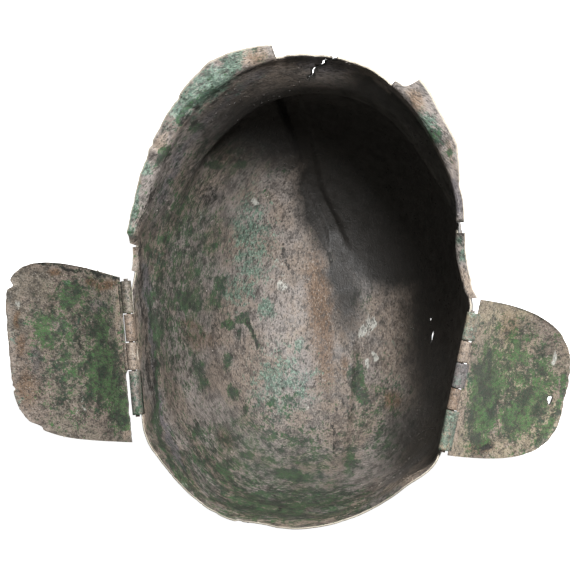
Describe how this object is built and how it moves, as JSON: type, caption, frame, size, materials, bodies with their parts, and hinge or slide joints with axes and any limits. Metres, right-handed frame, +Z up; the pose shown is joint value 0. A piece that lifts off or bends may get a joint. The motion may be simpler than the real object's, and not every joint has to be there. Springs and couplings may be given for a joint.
{
  "type": "chalcidian helmet",
  "caption": "Ancient bronze helmet lying on its crown, open side up, with a broken neck guard and hinged cheek-pieces swung outward.",
  "frame": {"origin": "middle of the flat on the crown that the helmet lies on", "axes": "+Z up out of the open side, +Y toward the neck guard, -Y toward the brow, +X toward the side that is on the right of the picture"},
  "size_m": [0.3478, 0.285, 0.1865],
  "materials": {
    "bowl_bronze": "corroded bronze sheet, grey-brown with green and pale teal patina patches",
    "left_cheek_bronze": "corroded bronze sheet, brown-grey with green patches",
    "right_cheek_bronze": "corroded bronze sheet, beige-brown with vivid green patches",
    "left_pin_bronze": "dull brown bronze wire",
    "right_pin_bronze": "dull brown bronze wire"
  },
  "bodies": {
    "helmet_bowl": {"bowl": "bowl_bronze", "left_hinge_pin": "left_pin_bronze", "right_hinge_pin": "right_pin_bronze"},
    "left_cheek": {"left_cheek_piece": "left_cheek_bronze"},
    "right_cheek": {"right_cheek_piece": "right_cheek_bronze"}
  },
  "joints": [
    {"name": "left_cheek_hinge", "type": "hinge", "parent": "helmet_bowl", "child": "left_cheek", "pos_m": [-0.1055, 0, 0.1753], "axis": [-0.1738, 0.9848, 0], "range_deg": [-50, 108]},
    {"name": "right_cheek_hinge", "type": "hinge", "parent": "helmet_bowl", "child": "right_cheek", "pos_m": [0.104, 0, 0.1753], "axis": [-0.1285, -0.9917, 0], "range_deg": [-22, 135]}
  ]
}
